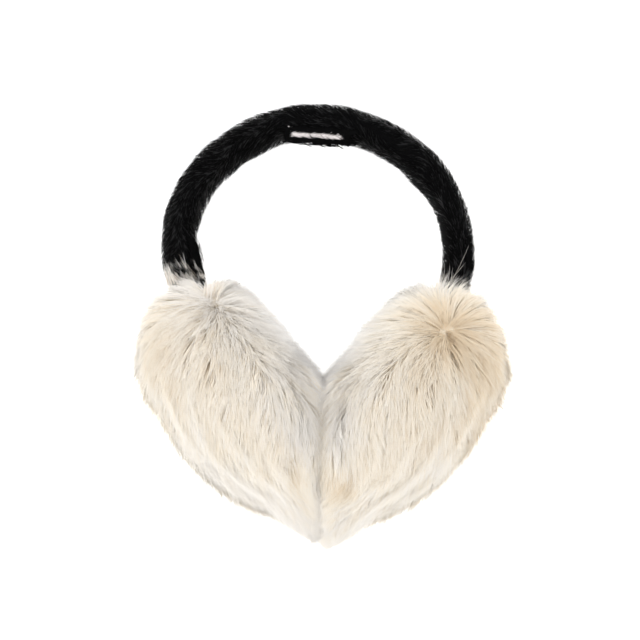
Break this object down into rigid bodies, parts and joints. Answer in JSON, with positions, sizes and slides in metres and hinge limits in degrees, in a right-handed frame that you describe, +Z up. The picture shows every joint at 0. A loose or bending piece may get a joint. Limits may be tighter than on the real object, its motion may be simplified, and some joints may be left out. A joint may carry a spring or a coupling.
{
  "type": "fur earmuffs",
  "caption": "Fur earmuffs lying on their back: a curved headband in a short-pile fur sleeve joins two deep round fur pads whose ear sides face each other.",
  "frame": {"origin": "on the surface the earmuffs lie on, under the middle of their outline", "axes": "+X to the right of the picture, +Y along the surface from the pads to the crown of the headband, +Z up"},
  "size_m": [0.1884, 0.2228, 0.1181],
  "materials": {
    "black_pile": "short black fur pile, brushed round the band",
    "cream_fur": "deep cream fur in soft locks, paler at the tips",
    "white_fur": "shorter off-white fur on the ear side",
    "band_metal": "plain gold-coloured flat strip",
    "satin_ribbon": "bare satin ribbon"
  },
  "bodies": {
    "root": {"headband_sleeve": "black_pile", "outer_fur_left": "cream_fur", "outer_fur_right": "cream_fur", "ear_side_fur_left": "white_fur", "ear_side_fur_right": "white_fur", "band_stem_left": "band_metal", "band_stem_right": "band_metal", "label": "satin_ribbon"}
  },
  "joints": []
}
